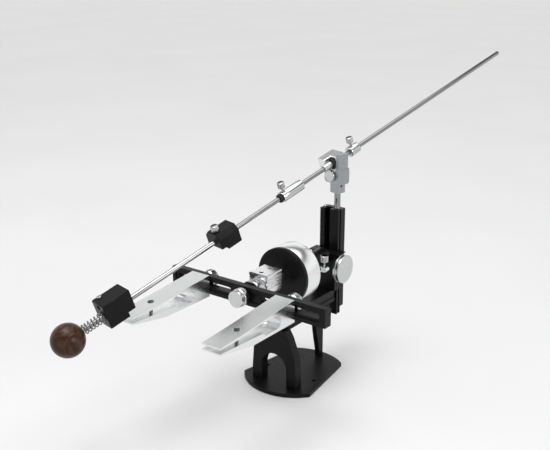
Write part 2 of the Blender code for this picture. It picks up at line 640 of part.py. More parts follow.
def gear_outline():
    """The pinion's outline: involute flanks, with a tooth space facing the rack at angle 0."""
    pressure = math.radians(20)
    base = GEAR_PITCH * math.cos(pressure)
    tip = GEAR_PITCH + 0.85 * GEAR_MODULE
    root = GEAR_PITCH - 1.25 * GEAR_MODULE
    pitch_roll = math.tan(pressure) - pressure
    half_tooth = (math.pi * GEAR_MODULE / 2 - BACKLASH) / (2 * GEAR_PITCH)
    flank = []
    for i in range(3):
        radius = base + (tip - base) * i / 2
        roll = math.acos(base / radius)
        flank.append((radius, half_tooth + pitch_roll - (math.tan(roll) - roll)))
    flank.insert(0, (root, flank[0][1]))
    outline = []
    for tooth in range(GEAR_TEETH):
        centre = 2 * math.pi * (tooth + 0.5) / GEAR_TEETH
        for radius, half in flank:
            outline.append((radius * math.cos(centre - half), radius * math.sin(centre - half)))
        for radius, half in reversed(flank):
            outline.append((radius * math.cos(centre + half), radius * math.sin(centre + half)))
    return outline


def rack_outline():
    """The rack's outline in Y and Z, with a tooth centred on the pinion's height."""
    pitch = math.pi * GEAR_MODULE
    line = GEAR_AXIS[0] + GEAR_PITCH
    tip = line - 0.6 * GEAR_MODULE
    root = line + 1.1 * GEAR_MODULE
    slope = math.tan(math.radians(20))
    half = (pitch / 2 - BACKLASH) / 2
    first = GEAR_AXIS[1] - 13 * pitch
    teeth = []
    for i in range(RACK_TEETH):
        centre = first + i * pitch
        at_root = half + (root - line) * slope
        at_tip = half - (line - tip) * slope
        teeth += [(root, centre - at_root), (tip, centre - at_tip), (tip, centre + at_tip),
                  (root, centre + at_root)]
    low = first - pitch / 2
    high = first + (RACK_TEETH - 0.5) * pitch
    return [(RACK_BACK, low), (root, low)] + teeth + [(root, high), (RACK_BACK, high)]


def make_drive():
    """Rack in the post, pinion on its shaft in the bracket, and the lift knob."""
    width = GEAR_X[1] - GEAR_X[0]
    middle = (GEAR_X[0] + GEAR_X[1]) / 2
    add_piece("rack", slab_mesh(rack_outline(), 0.0072), "steel",
              at=((GROOVE[0] + GROOVE[1]) / 2, 0, 0), turn=FACE_SIDE)
    pinion = add_piece("pinion_shaft", slab_mesh(gear_outline(), width), "steel",
                       at=(middle, *GEAR_AXIS), turn=FACE_SIDE)
    join(pinion, rod_mesh(GEAR_SHAFT_RADIUS, -0.013 - middle, 0.0245 - middle, 20))
    bore = GEAR_SHAFT_RADIUS + RUN
    face = LIFT_KNOB_FACE
    rim = LIFT_KNOB_RADIUS
    knob = [(0, face), (rim - 0.0006, face), (rim, face - 0.0006), (rim, face - 0.0038),
            (rim - 0.0012, face - 0.0043), (rim - 0.0012, face - 0.0050), (rim, face - 0.0055),
            (rim, face - 0.0072), (rim - 0.0008, face - 0.0080), (0.0078, face - 0.0080),
            (0.0078, 0.0185), (bore, 0.0185), (bore, 0.0248), (0, 0.0248)]
    add_turned("lift_knob", knob, "aluminium", (0, *GEAR_AXIS), "+X", steps=32)


# ---------------------------------------------------------------- hinge

def make_hinge_stem(yaw):
    """A square socket on the upright rod."""
    low = STEM_LOW
    high = YOKE_LOW - GAP
    mesh = slab_mesh(round_box(STEM_HALF, STEM_HALF, 0.001, 2), high - low,
                     [circle((0, 0), UPRIGHT_RADIUS + RUN, 24)])
    stem = add_piece("hinge_stem", mesh, "aluminium", at=(0, 0, (low + high) / 2), parent=yaw)
    cut(stem, rod_mesh(0.0017, 0.002, 0.01, 12), at=(0, 0, 0.003), turn=TURNS["+X"])
    screw = rod_profile(0.0014, 0.0046, 0.0066, 0.0002)
    add_turned("hinge_set_screw", screw, "dark_steel",
               (0, 0, (low + high) / 2 + 0.003), "+X", steps=12, parent=yaw)


def make_yoke(yaw):
    """The yoke: a lower body on the upright rod and one cheek, on its right, for the pivot."""
    body = [(-0.0109, SADDLE), (-0.0109, -0.026), (-0.0085, YOKE_LOW), (0.006, YOKE_LOW),
            (0.0075, -0.0265), (0.0075, SADDLE)]
    mesh = slab_mesh(body, 2 * YOKE_HALF)
    yoke = add_piece("hinge_yoke", mesh, "aluminium", parent=yaw, turn=FACE_SIDE)
    foot = SADDLE - 0.002
    cheek = [(CHEEK_FRONT, foot), (SHOULDER[0], foot), SHOULDER, (CHEEK_BACK, SHOULDER[1]),
             (CHEEK_BACK, CHEEK_TOP), (CHEEK_FRONT, CHEEK_TOP)]
    thick = YOKE_HALF - CHEEK_INNER
    join(yoke, slab_mesh(cheek, thick), at=(0, 0, CHEEK_INNER + thick / 2))
    seam = box_mesh((-0.02, SHOULDER[1] - 0.0007, YOKE_HALF - 0.0005),
                    (CHEEK_BACK - 0.0004, SHOULDER[1] - 0.0001, YOKE_HALF + 0.005))
    cut(yoke, seam)
    cut(yoke, rod_mesh(0.0028, 0.0, 0.02, 16))
    cut(yoke, rod_mesh(UPRIGHT_RADIUS + RUN, -0.04, UPRIGHT_TOP - HINGE[2] + GAP),
        turn=TURNS["+Y"])
    cut(yoke, rod_mesh(0.0022, 0.0, 0.02, 12), at=(0, -0.0190, 0), turn=TURNS["-X"])
    cut(yoke, rod_mesh(0.0019, -0.02, 0.0, 12), at=(0, -0.0258, 0))
    pin = rod_profile(0.0026, 0.0048, YOKE_HALF + 0.0006, 0.0003)
    add_turned("pivot_pin", pin, "chrome", (0, 0, 0), "+X", steps=16, parent=yaw)
    knob = [(0, 0.0155), (0.0068, 0.0155), (0.0077, 0.0146), (0.0077, 0.0122), (0.0070, 0.0112),
            (0.0019, 0.0112), (0.0019, 0.0050), (0, 0.0050)]
    add_turned("hinge_knob", knob, "aluminium", (0, 0, -0.0190), "-Y", parent=yaw)
    side_knob = thumb_profile(0.005, 0.0016, 0.0050, YOKE_HALF + 0.0005, 0.0200)
    add_turned("hinge_side_knob", side_knob, "steel", (0, 0, -0.0258), "-X", parent=yaw)


def make_pivot_block(pitch):
    """The tilting block, whose wing reaches forward beside the rod, with its bush and seal."""
    wing_right, wing_front, wing_low = WING
    outline = [(PIVOT_LEFT, wing_front), (wing_right, wing_front), (wing_right, PIVOT_FRONT),
               (PIVOT_RIGHT, PIVOT_FRONT), (PIVOT_RIGHT, PIVOT_BACK), (PIVOT_LEFT, PIVOT_BACK)]
    middle = (PIVOT_TOP + PIVOT_LOW) / 2
    block = add_piece("pivot_block", slab_mesh(outline, PIVOT_TOP - PIVOT_LOW), "aluminium",
                      parent=pitch, at=(0, 0, middle))
    soften(block, 0.0006)
    under = box_mesh((PIVOT_LEFT - 0.01, wing_front - 0.01, PIVOT_LOW - 0.01 - middle),
                     (wing_right + 0.002, PIVOT_FRONT - 0.0002, wing_low - middle))
    cut(block, under)
    for radius, low, high in ((ROD_RADIUS + RUN, -0.03, 0.02), (0.0046, -0.0115, -0.0005),
                              (0.0052, -0.03, PIVOT_FRONT - 0.0004),
                              (SEAL_RADIUS + GAP, -0.0135, PIVOT_FRONT - 0.0001)):
        cut(block, rod_mesh(radius, low, high, 24), at=(0, 0, -middle), turn=TURNS["+Y"])
    cut(block, rod_mesh(0.0028, 0.0, 0.02, 16), at=(0, 0, -middle), turn=TURNS["+X"])
    bore = ROD_RADIUS + RUN
    bush = [(bore, 0.0270), (0.0044, 0.0270), (0.0048, 0.0266), (0.0048, 0.0106),
            (0.0043, 0.0106), (0.0043, 0.0035), (bore, 0.0035)]
    add_turned("rod_bush", bush, "aluminium", (0, 0, 0), "-Y", ring=True, parent=pitch)
    seal = tube_profile(SEAL_RADIUS, 0.0050, 0.0103, 0.0131)
    add_turned("pivot_seal", seal, "rubber", (0, 0, 0), "-Y", ring=True, parent=pitch)


# ---------------------------------------------------------------- guide rod

def make_rod(pitch):
    """The guide rod, with a ball handle on its front end."""
    add_turned("guide_rod", rod_profile(ROD_RADIUS, ROD_FRONT, ROD_BACK), "chrome",
               (0, 0, 0), "+Y", parent=pitch)
    bm = bmesh.new()
    bmesh.ops.create_uvsphere(bm, u_segments=24, v_segments=14, radius=BALL_RADIUS)
    ball = add_piece("ball_handle", mesh_from(bm, "ball"), "walnut", at=(0, BALL_AT, 0),
                     turn=TURNS["+Y"], parent=pitch)
    cut(ball, rod_mesh(ROD_RADIUS + RUN, ROD_FRONT - BALL_AT - GAP, 0.03, 20))


def make_spring(pitch):
    """The coil spring between the handle and the front holder."""
    curve = bpy.data.curves.new("coil", "CURVE")
    curve.dimensions = "3D"
    curve.bevel_depth = SPRING_WIRE
    curve.bevel_resolution = 2
    curve.use_fill_caps = True
    steps = SPRING_TURNS * 9
    spline = curve.splines.new("POLY")
    spline.points.add(steps)
    travel = SPRING_BACK - SPRING_FRONT - 2 * SPRING_WIRE
    for i, point in enumerate(spline.points):
        angle = 2 * math.pi * i / 9
        along = SPRING_FRONT + SPRING_WIRE + travel * i / steps
        point.co = (SPRING_RADIUS * math.cos(angle), along, SPRING_RADIUS * math.sin(angle), 1)
    spring = bpy.data.objects.new("holder_spring", curve)
    curve.materials.append(finish_material("holder_spring", "steel"))
    spring.parent = pitch
    parts.objects.link(spring)


def make_front_holder(pitch):
    """The sprung stone holder by the handle, open under its rear edge for a stone's end."""
    front, back = FRONT_HOLDER
    low = (-0.014, front, -0.013)
    holder = add_piece("front_holder", box_mesh(low, (0.010, back, 0.017)), "black_anodised",
                       parent=pitch)
    soften(holder, 0.0008)
    cut(holder, rod_mesh(ROD_RADIUS + RUN, -0.40, -0.30), turn=TURNS["+Y"])
    cut(holder, box_mesh((-0.02, back - 0.010, -0.02), (0.02, back + 0.01, -0.007)))
    cut(holder, rod_mesh(0.0030, -0.002, 0.004, 16), at=(-0.0015, front, 0.0120),
        turn=TURNS["+Y"])
    cut(holder, rod_mesh(0.0014, 0.008, 0.02, 12), at=(-0.0100, front + 0.0080, 0))
    screw = [(0, 0.0185), (0.0026, 0.0185), (0.0026, 0.0173), (0.0012, 0.0173), (0.0012, 0.0085),
             (0, 0.0085)]
    add_turned("front_holder_screw", screw, "chrome", (-0.0100, front + 0.0080, 0), steps=16,
               parent=pitch)


def make_rear_holder(pitch):
    """The sliding stone holder and the thumb screw that locks it on the rod."""
    front, back = REAR_HOLDER
    chamfer = 0.006
    left, right, low, high = -0.015, 0.013, -0.011, 0.012
    outline = [(left + chamfer, high), (left, high - chamfer), (left, low), (right, low),
               (right, high - chamfer), (right - chamfer, high)]
    middle = (front + back) / 2
    mesh = slab_mesh(outline, back - front)
    holder = add_piece("rear_holder", mesh, "black_anodised", at=(0, middle, 0), turn=FACE_FRONT,
                       parent=pitch)
    soften(holder, 0.0008)
    cut(holder, rod_mesh(ROD_RADIUS + RUN, -0.02, 0.02))
    cut(holder, box_mesh((-0.02, -0.02, middle - front - 0.009), (0.02, -0.0065, 0.02)))
    at = front + 0.006
    cut(holder, rod_mesh(0.0019, 0.001, 0.02, 12), at=(0, 0, middle - at), turn=TURNS["+Y"])
    thumb = thumb_profile(0.0048, 0.0016, 0.0034, 0.0128, 0.0195)
    add_turned("rear_holder_screw", thumb, "chrome", (0, at, 0), parent=pitch)


def make_stop(pitch, name, span, screw_at):
    """A stop collar on the rod, and the thumb screw that locks it."""
    middle = (span[0] + span[1]) / 2
    half = (span[1] - span[0]) / 2
    collar = add_turned(f"{name}_stop", tube_profile(STOP_RADIUS, ROD_RADIUS + RUN, -half, half),
                        "chrome", (0, middle, 0), "+Y", ring=True, parent=pitch)
    cut(collar, rod_mesh(0.0019, 0.0, 0.01, 12), at=(0, 0, screw_at - middle), turn=TURNS["-Y"])
    thumb = thumb_profile(0.0046, 0.0016, 0.0034, 0.0115, 0.0190)
    add_turned(f"{name}_stop_screw", thumb, "chrome", (0, screw_at, 0), parent=pitch)
    return collar


def make_stops(pitch):
    """The front stop, with its set screw and bumper ring, and the rear stop."""
    set_at = -0.082
    middle = (FRONT_STOP[0] + FRONT_STOP[1]) / 2
    collar = make_stop(pitch, "front", FRONT_STOP, -0.0955)
    cut(collar, rod_mesh(0.0017, 0.0, 0.01, 12), at=(0, 0, set_at - middle), turn=TURNS["-Y"])
    add_turned("front_stop_set_screw", rod_profile(0.0014, 0.0035, 0.0066, 0.0002), "dark_steel",
               (0, set_at, 0), steps=12, parent=pitch)
    ring = tube_profile(0.0056, ROD_RADIUS + RUN, FRONT_STOP[0] - 0.0040, FRONT_STOP[0] - GAP)
    add_turned("front_stop_bumper", ring, "rubber", (0, 0, 0), "+Y", ring=True,
               parent=pitch)
    make_stop(pitch, "rear", REAR_STOP, 0.0250)


# ---------------------------------------------------------------- the whole jig

clear_scene()
parts = new_collection("guided_sharpening_jig")
cutters = new_collection("cutters")

make_base_plate()
make_pedestal()
make_beam()
make_foot_screws()
make_bracket_screw()
make_drum()
make_rotor()
make_brake()
make_bar()
make_centre_knob()
for clamp_side in CLAMP_X:
    make_clamp(clamp_side)
make_bracket()
make_post()
make_drive()
yaw_axis = add_axis("rod_yaw_axis", HINGE, (0, 0, -YAW))
pitch_axis = add_axis("rod_pitch_axis", (0, 0, 0), (PITCH, 0, 0), yaw_axis)
make_hinge_stem(yaw_axis)
make_yoke(yaw_axis)
make_pivot_block(pitch_axis)
make_rod(pitch_axis)
make_spring(pitch_axis)
make_front_holder(pitch_axis)
make_rear_holder(pitch_axis)
make_stops(pitch_axis)
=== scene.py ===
"""Looks for the guided-rod knife sharpening jig: fine turned pieces, edges and finishes.

Lengths in the tables below are millimetres; MM turns them into the frame's metres.
"""

import json
import math

import bpy
from mathutils import Matrix, Vector

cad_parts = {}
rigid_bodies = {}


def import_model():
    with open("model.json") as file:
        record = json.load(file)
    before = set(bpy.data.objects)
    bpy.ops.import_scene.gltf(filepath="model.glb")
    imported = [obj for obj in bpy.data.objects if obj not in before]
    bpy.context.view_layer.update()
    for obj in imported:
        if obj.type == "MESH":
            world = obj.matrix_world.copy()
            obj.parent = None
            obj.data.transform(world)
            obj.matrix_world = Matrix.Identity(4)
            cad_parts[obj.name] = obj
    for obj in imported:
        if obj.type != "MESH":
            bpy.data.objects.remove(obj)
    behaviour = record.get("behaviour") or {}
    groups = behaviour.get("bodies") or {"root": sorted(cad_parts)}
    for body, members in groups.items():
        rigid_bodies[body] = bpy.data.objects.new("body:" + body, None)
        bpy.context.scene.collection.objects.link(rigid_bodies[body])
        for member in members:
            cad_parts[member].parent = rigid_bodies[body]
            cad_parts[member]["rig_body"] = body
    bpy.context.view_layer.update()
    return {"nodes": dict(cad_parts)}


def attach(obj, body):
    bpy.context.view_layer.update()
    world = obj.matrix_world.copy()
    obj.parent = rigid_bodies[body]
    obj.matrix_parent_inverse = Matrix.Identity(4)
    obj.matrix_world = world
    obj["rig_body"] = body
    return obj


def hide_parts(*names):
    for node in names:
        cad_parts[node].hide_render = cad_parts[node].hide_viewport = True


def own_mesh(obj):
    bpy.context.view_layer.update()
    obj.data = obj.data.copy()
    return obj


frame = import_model()

MM = 0.001
QUARTER = math.pi / 2
AXIS_HEIGHT = 144           # of the rotary axis, which runs along Y
AXIS = (0, 0, AXIS_HEIGHT)
HINGE = (8, 81, 270)        # where the hinge's yaw and pitch axes cross
YAW = math.radians(-13.235)     # both angles are those of the rest pose
PITCH = math.radians(18.748)

UPRIGHT = Matrix.Identity(4)
YAWED = Matrix.Translation([MM * v for v in HINGE]) @ Matrix.Rotation(YAW, 4, "Z")
PITCHED = YAWED @ Matrix.Rotation(PITCH, 4, "X")
TURNS = {                   # the rotation that points local +Z along an axis
    "+Z": Matrix.Identity(4),
    "+X": Matrix.Rotation(QUARTER, 4, "Y"),
    "-X": Matrix.Rotation(-QUARTER, 4, "Y"),
    "+Y": Matrix.Rotation(-QUARTER, 4, "X"),
    "-Y": Matrix.Rotation(QUARTER, 4, "X"),
}

NOISE_LOW, NOISE_HIGH = 0.3, 0.7        # nearly all of a noise texture lies between these
WELD_DISTANCE = 1e-6                    # metres
FLAT_ANGLE = math.radians(0.5)          # faces that meet at less than this become one
BEVEL_ANGLE = math.radians(38)          # corners sharper than this get a small bevel
TURNED_SHARP = math.radians(28)         # edges sharper than this stay crisp
WIRE_SHARP = math.radians(50)
THREAD_PITCH, THREAD_DEPTH = 0.5, 0.18
CROSS_ARM = 0.28                        # half the width of a cross slot's arm, by its length


# ---------------------------------------------------------------- finishes

class Look:
    """A node material being built around one Principled shader."""

    def __init__(self, name, metallic, **uniform):
        self.material = bpy.data.materials.new(name)
        self.material.use_nodes = True
        self.nodes = self.material.node_tree.nodes
        self.links = self.material.node_tree.links
        self.shader = self.nodes["Principled BSDF"]
        self.shader.inputs["Metallic"].default_value = metallic
        for socket, value in uniform.items():
            self.shader.inputs[socket.replace("_", " ")].default_value = value

    def add(self, kind, **values):
        """A node. Capitalised values are its sockets and the others its settings."""
        node = self.nodes.new("ShaderNode" + kind)
        for key, value in values.items():
            if key[0].isupper():
                node.inputs[key].default_value = value
            else:
                setattr(node, key, value)
        return node

    def place(self, stretch=(1, 1, 1), turned=False):
        """The piece's own coordinates, stretched. Turned ones are radius, angle and height."""
        point = self.add("TexCoord").outputs["Object"]
        if turned:
            split = self.add("SeparateXYZ")
            self.links.new(point, split.inputs[0])
            flat = self.add("CombineXYZ")
            self.links.new(split.outputs["X"], flat.inputs["X"])
            self.links.new(split.outputs["Y"], flat.inputs["Y"])
            radius = self.add("VectorMath", operation="LENGTH")
            self.links.new(flat.outputs[0], radius.inputs[0])
            angle = self.add("Math", operation="ARCTAN2")
            self.links.new(split.outputs["Y"], angle.inputs[0])
            self.links.new(split.outputs["X"], angle.inputs[1])
            joined = self.add("CombineXYZ")
            self.links.new(radius.outputs["Value"], joined.inputs["X"])
            self.links.new(angle.outputs[0], joined.inputs["Y"])
            self.links.new(split.outputs["Z"], joined.inputs["Z"])
            point = joined.outputs[0]
        scale = self.add("VectorMath", operation="MULTIPLY")
        scale.inputs[1].default_value = stretch
        self.links.new(point, scale.inputs[0])
        return scale.outputs[0]

    def noise(self, point, scale, detail=3.0, rough=0.55):
        node = self.add("TexNoise", Scale=scale, Detail=detail, Roughness=rough)
        self.links.new(point, node.inputs["Vector"])
        return node.outputs["Fac"]

    def colour(self, share, stops):
        """Base colour from a ramp over share."""
        ramp = self.add("ValToRGB")
        elements = ramp.color_ramp.elements
        while len(elements) < len(stops):
            elements.new(0.5)
        for element, (position, colour) in zip(elements, stops):
            element.position = position
            element.color = (*colour, 1.0)
        self.links.new(share, ramp.inputs["Fac"])
        self.links.new(ramp.outputs["Color"], self.shader.inputs["Base Color"])

    def tones(self, share, low, high):
        """Base colour from one tone to another, over the range that noise fills."""
        self.colour(share, [(NOISE_LOW, low), (NOISE_HIGH, high)])

    def roughness(self, share, low, high):
        """Roughness from low to high, over the range that noise fills."""
        node = self.add("MapRange")
        for socket, value in (("From Min", NOISE_LOW), ("From Max", NOISE_HIGH),
                              ("To Min", low), ("To Max", high)):
            node.inputs[socket].default_value = value
        self.links.new(share, node.inputs["Value"])
        self.links.new(node.outputs["Result"], self.shader.inputs["Roughness"])

    def bump(self, height, distance, strength):
        node = self.add("Bump", Strength=strength, Distance=distance)
        self.links.new(height, node.inputs["Height"])
        self.links.new(node.outputs["Normal"], self.shader.inputs["Normal"])


def grey(value, warm=0.0):
    """A grey, with more red than blue in it by the share warm."""
    return (value * (1 + warm), value, value * (1 - warm))


def coat_look():
    """Satin black powder coat: fine orange peel, and a little dust in its colour."""
    look = Look("black_powder_coat", 0.0, Coat_Weight=0.03, Coat_Roughness=0.25,
                Specular_IOR_Level=0.13)
    broad = look.noise(look.place(), scale=38, detail=4)
    look.tones(broad, grey(0.0020, 0.03), grey(0.0050, 0.06))
    look.roughness(look.noise(look.place(), scale=260, detail=3), low=0.34, high=0.50)
    look.bump(look.noise(look.place(), scale=1300, detail=2), distance=0.00005, strength=0.5)
    return look.material


def black_look(name, stretch):
    """Black anodised aluminium, with drawn lines along one axis."""
    look = Look(name, 0.0, Specular_IOR_Level=0.15)
    lines = look.noise(look.place(stretch), scale=1.0, detail=3, rough=0.6)
    broad = look.noise(look.place(), scale=55, detail=3)
    look.tones(broad, grey(0.0020, -0.02), grey(0.0050, 0.02))
    look.roughness(lines, low=0.26, high=0.42)
    look.bump(lines, distance=0.000006, strength=0.5)
    return look.material


def bright_look(name, stretch, turned=False, low=0.20, high=0.28, value=0.80,
                warm=-0.006):
    """Bare aluminium with tool lines: straight, or round the axis of a turned piece."""
    look = Look(name, 1.0, Anisotropic=0.65 if turned else 0.0)
    if turned:
        around = look.add("Tangent", direction_type="RADIAL", axis="Z")
        look.links.new(around.outputs[0], look.shader.inputs["Tangent"])
    lines = look.noise(look.place(stretch, turned), scale=1.0, detail=3, rough=0.65)
    broad = look.noise(look.place(), scale=30, detail=2)
    look.tones(broad, grey(value * 0.97, warm), grey(value * 1.03, warm))
    look.roughness(lines, low, high)
    look.bump(lines, distance=0.000004, strength=0.5)
    return look.material


def chrome_look(name, value):
    """Polished chrome or ground steel, with faint handling haze. A low value paints dark
    reflection into the colour.
    """
    look = Look(name, 1.0)
    broad = look.noise(look.place(), scale=60, detail=4, rough=0.6)
    look.tones(broad, grey(value * 0.94, -0.014), grey(value * 1.06, -0.010))
    look.roughness(broad, low=0.045, high=0.12)
    look.bump(look.noise(look.place(), scale=700, detail=2), distance=0.000006, strength=0.4)
    return look.material


def steel_look(name, value, low, high):
    """Plain or blackened steel."""
    look = Look(name, 1.0)
    fine = look.noise(look.place(), scale=420, detail=4, rough=0.65)
    look.tones(fine, grey(value * 0.8, 0.01), grey(value * 1.15, 0.01))
    look.roughness(look.noise(look.place(), scale=150, detail=3), low, high)
    look.bump(fine, distance=0.00002, strength=0.4)
    return look.material


def rubber_look():
    """Matt black rubber with a fine moulded grain."""
    look = Look("moulded_rubber", 0.0, Specular_IOR_Level=0.3)
    fine = look.noise(look.place(), scale=900, detail=3)
    look.tones(fine, grey(0.012), grey(0.022))
    look.roughness(fine, low=0.62, high=0.80)
    look.bump(fine, distance=0.00006, strength=0.6)
    return look.material


def walnut_look():
    """Dark lacquered walnut, its grain running across the bore."""
    look = Look("lacquered_walnut", 0.0, Coat_Weight=0.22, Coat_Roughness=0.16, Coat_IOR=1.5,
                Specular_IOR_Level=0.12)
    long = look.place((1.0, 0.16, 1.0))
    warp = look.noise(long, scale=60, detail=4)
    bands = look.add("TexWave", wave_type="RINGS", rings_direction="Y", Scale=70,
                     Distortion=7.0, Detail=4.0)
    bands.inputs["Detail Scale"].default_value = 1.4
    look.links.new(long, bands.inputs["Vector"])
    rings = look.add("MapRange")
    look.links.new(bands.outputs["Fac"], rings.inputs["Value"])
    rings.inputs["To Min"].default_value = 0.0
    rings.inputs["To Max"].default_value = 0.13
    total = look.add("Math", operation="ADD")
    look.links.new(rings.outputs["Result"], total.inputs[0])
    look.links.new(warp, total.inputs[1])
    look.colour(total.outputs[0], [
        (0.34, (0.010, 0.0036, 0.0015)),
        (0.56, (0.026, 0.0094, 0.0034)),
        (0.78, (0.075, 0.029, 0.0100)),
    ])
    pores = look.noise(look.place((1.0, 0.06, 1.0)), scale=1900, detail=2, rough=0.6)
    look.roughness(pores, low=0.30, high=0.46)
    look.bump(pores, distance=0.00004, strength=0.35)
    return look.material


LOOKS = {                   # material, and the record's slot that it belongs to
    "coat": (coat_look(), "black_coat"),
    "black_x": (black_look("black_anodised_x", (60, 2600, 2600)), "black_anodised"),
    "black_y": (black_look("black_anodised_y", (2600, 60, 2600)), "black_anodised"),
    "black_z": (black_look("black_anodised_z", (2600, 2600, 60)), "black_anodised"),
    "black_fine": (black_look("black_anodised_fine", (1500, 1500, 1500)), "black_anodised"),
    "bright_y": (bright_look("milled_aluminium_y", (2300, 70, 2300)), "bright_aluminium"),
    # Hinge aluminium: its colour is darkened to 0.36 and tinted blue, a painted dark reflection
    # of the darker surroundings its faces mirror
    "hinge_z_painted_dark_reflection": (bright_look("milled_aluminium_z_painted_dark_reflection", (1900, 1900, 90), low=0.28, high=0.40,
                             value=0.36, warm=-0.045), "bright_aluminium"),
    "turned": (bright_look("turned_aluminium", (3200, 0.6, 3200), True, value=0.60),
               "bright_aluminium"),
    "brushed": (bright_look("brushed_aluminium", (2200, 0.6, 2200), True, value=0.84),
                "bright_aluminium"),
    "chrome": (chrome_look("polished_chrome", 0.52), "chrome"),
    # The rods' chrome is darkened to 0.27, a painted dark reflection standing for the dark line
    # mirrored along them
    "rod": (chrome_look("rod_chrome_painted_dark_reflection", 0.27), "chrome"),
    "steel": (steel_look("ground_steel", 0.52, low=0.20, high=0.36), "steel"),
    # Jaw screw heads: steel darkened to 0.13 as painted shade of the counterbores they sit in
    "jaw_screw_painted_shade": (steel_look("jaw_screw_steel_painted_shade", 0.13, low=0.22, high=0.36), "steel"),
    "spring": (steel_look("spring_steel", 0.22, low=0.22, high=0.36), "steel"),
    "dark": (steel_look("blackened_steel", 0.055, low=0.28, high=0.46), "dark_steel"),
    "rubber": (rubber_look(), "rubber"),
    "walnut": (walnut_look(), "walnut"),
}


# ---------------------------------------------------------------- CAD pieces that stay

def polish(node, look, bevel_width):
    """A carried-over CAD node: joined faces, small bevels and its finish."""
    piece = frame["nodes"][node]
    material, slot = LOOKS[look]
    piece.data.materials.clear()
    piece.data.materials.append(material)
    piece.data.shade_smooth()
    weld = piece.modifiers.new("weld", "WELD")
    weld.merge_threshold = WELD_DISTANCE
    flat = piece.modifiers.new("flat", "DECIMATE")
    flat.decimate_type = "DISSOLVE"
    flat.angle_limit = FLAT_ANGLE
    bevel = piece.modifiers.new("edges", "BEVEL")
    bevel.width = bevel_width * MM
    bevel.segments = 2
    bevel.limit_method = "ANGLE"
    bevel.angle_limit = BEVEL_ANGLE
    bevel.use_clamp_overlap = True
    piece.modifiers.new("shade", "WEIGHTED_NORMAL").keep_sharp = True


KEPT = (                    # node, look, bevel width
    ("base_plate", "coat", 0.5), ("pedestal", "coat", 0.7), ("beam", "black_y", 0.3),
    ("shaft_block", "bright_y", 0.25), ("brake_lug", "bright_y", 0.3),
    ("clamp_bar", "black_x", 0.45), ("left_clamp", "bright_y", 0.3),
    ("right_clamp", "bright_y", 0.3), ("post_bracket", "black_fine", 0.4),
    ("post", "black_z", 0.4), ("rack", "steel", 0.08), ("pinion_shaft", "steel", 0.08),
    ("hinge_stem", "hinge_z_painted_dark_reflection", 0.4), ("hinge_yoke", "hinge_z_painted_dark_reflection", 0.5),
    ("pivot_block", "bright_y", 0.2), ("front_holder", "black_fine", 0.4),
    ("rear_holder", "black_fine", 0.4),
)
for kept in KEPT:
    polish(*kept)


# ---------------------------------------------------------------- turned pieces

def rim(shape, angle):
    """How far out a profile point lies at an angle, as a share of its radius.

    A shape is "hex", "cross", (count, depth) for knurls and ribs, or None for round.
    """
    if shape == "hex":
        return 1 / math.cos((angle + math.pi / 6) % (math.pi / 3) - math.pi / 6)
    if shape == "cross":
        arm = (angle + math.pi / 4) % QUARTER - math.pi / 4
        return min(1 / math.cos(arm), CROSS_ARM / max(abs(math.sin(arm)), 0.2))
    if isinstance(shape, tuple):
        count, depth = shape
        part = angle * count / (2 * math.pi) % 1.0
        return 1.0 if part < 0.5 else 1.0 - depth
    return 1.0


def turn_mesh(name, profile, sides, ring):
    """A closed lathe mesh. profile is (radius, height) or (radius, height, shape) in mm.

    It ends on the axis, or where ring is true it closes on itself round a bore.
    """
    verts = []
    rows = []
    for point in profile:
        radius, height = point[0], point[1]
        shape = point[2] if len(point) > 2 else None
        if radius == 0:
            rows.append([len(verts)] * sides)
            verts.append((0, 0, height * MM))
            continue
        rows.append(list(range(len(verts), len(verts) + sides)))
        for i in range(sides):
            angle = 2 * math.pi * i / sides
            reach = radius * MM * rim(shape, angle)
            verts.append((reach * math.cos(angle), reach * math.sin(angle), height * MM))
    faces = []
    pairs = list(zip(rows, rows[1:]))
    if ring:
        pairs.append((rows[-1], rows[0]))
    for upper, lower in pairs:
        for i in range(sides):
            j = (i + 1) % sides
            corners = [upper[i], lower[i], lower[j], upper[j]]
            faces.append(list(dict.fromkeys(corners)))
    mesh = bpy.data.meshes.new(name)
    mesh.from_pydata(verts, [], [face for face in faces if len(face) > 2])
    mesh.update()
    mesh.shade_smooth()
    mesh.set_sharp_from_angle(angle=TURNED_SHARP)
    return mesh


def turned(node, place, at, axis, look, profile, sides=64, ring=False):
    """A fine turned piece that stands for a CAD node, on the node's own body."""
    piece = bpy.data.objects.new(f"{node}_turned", turn_mesh(node, profile, sides, ring))
    bpy.context.scene.collection.objects.link(piece)
    piece.matrix_world = place @ Matrix.Translation([MM * v for v in at]) @ TURNS[axis]
    material, slot = LOOKS[look]
    piece.data.materials.append(material)
    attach(piece, frame["nodes"][node]["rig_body"])
    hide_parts(node)


def edge(radius, height, size, outward=1):
    """Three points round an outer corner, from the flat above to the side below."""
    return [(radius - size, height), (radius - 0.3 * size, height - 0.3 * size * outward),
            (radius, height - size * outward)]


def rod(radius, low, high, size=0.4):
    """A plain rod from high to low, with eased ends."""
    return ([(0, high)] + edge(radius, high, size)
            + list(reversed(edge(radius, low, size, -1))) + [(0, low)])


def tube(outer, inner, low, high, size):
    """A plain tube's closed profile, eased outside and inside."""
    bore = 0.5 * size
    return ([(inner, high - bore), (inner + bore, high)] + edge(outer, high, size)
            + list(reversed(edge(outer, low, size, -1))) + [(inner + bore, low),
                                                           (inner, low + bore)])


def thread(radius, high, low):
    """Screw thread drawn as fine ridges, from high to low."""
    root = radius - THREAD_DEPTH
    points = []
    height = high
    while height - THREAD_PITCH >= low:
        points += [(root, height), (radius, height - THREAD_PITCH / 2)]
        height -= THREAD_PITCH
    return points + [(root, low)]


